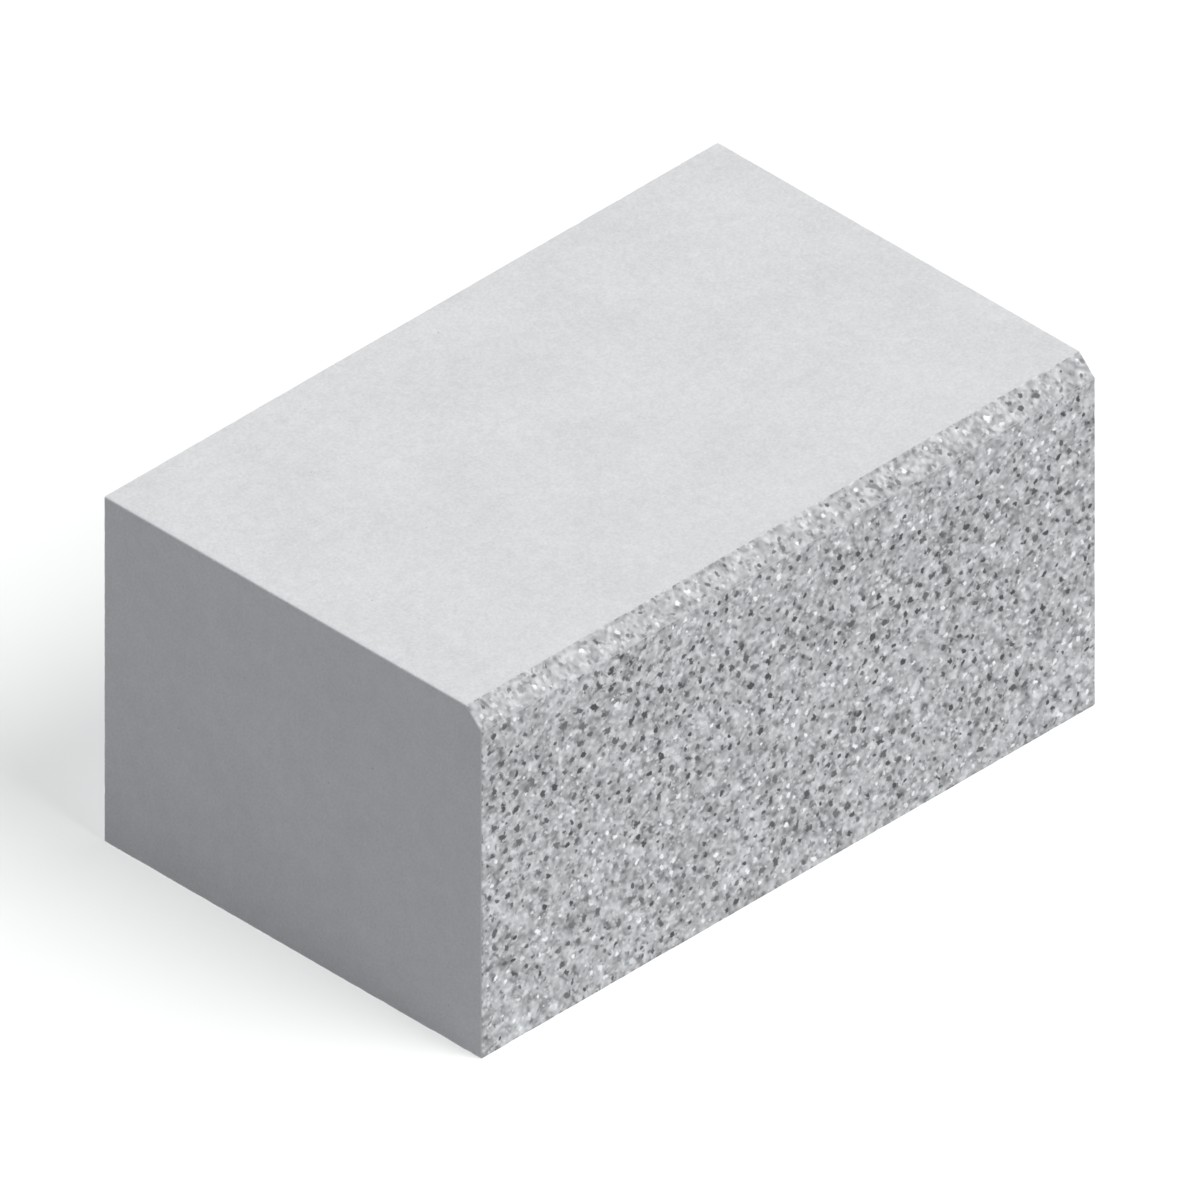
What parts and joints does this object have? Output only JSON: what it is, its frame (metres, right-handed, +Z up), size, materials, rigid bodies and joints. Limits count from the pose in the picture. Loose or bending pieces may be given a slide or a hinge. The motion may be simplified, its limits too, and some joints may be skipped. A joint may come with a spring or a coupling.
{
  "type": "concrete block",
  "caption": "Solid rectangular concrete masonry block with an exposed-aggregate front face and a chamfered top front edge.",
  "frame": {"origin": "centre of the bed face, the flat underside that rests on the mortar or the floor", "axes": "+X along the block's length; -Y out of the finished, exposed-aggregate front face, so +Y points to the plain back; +Z up"},
  "size_m": [0.39, 0.24, 0.19],
  "materials": {
    "concrete": "matte"
  },
  "bodies": {
    "root": {"concrete_block": "concrete"}
  },
  "joints": []
}
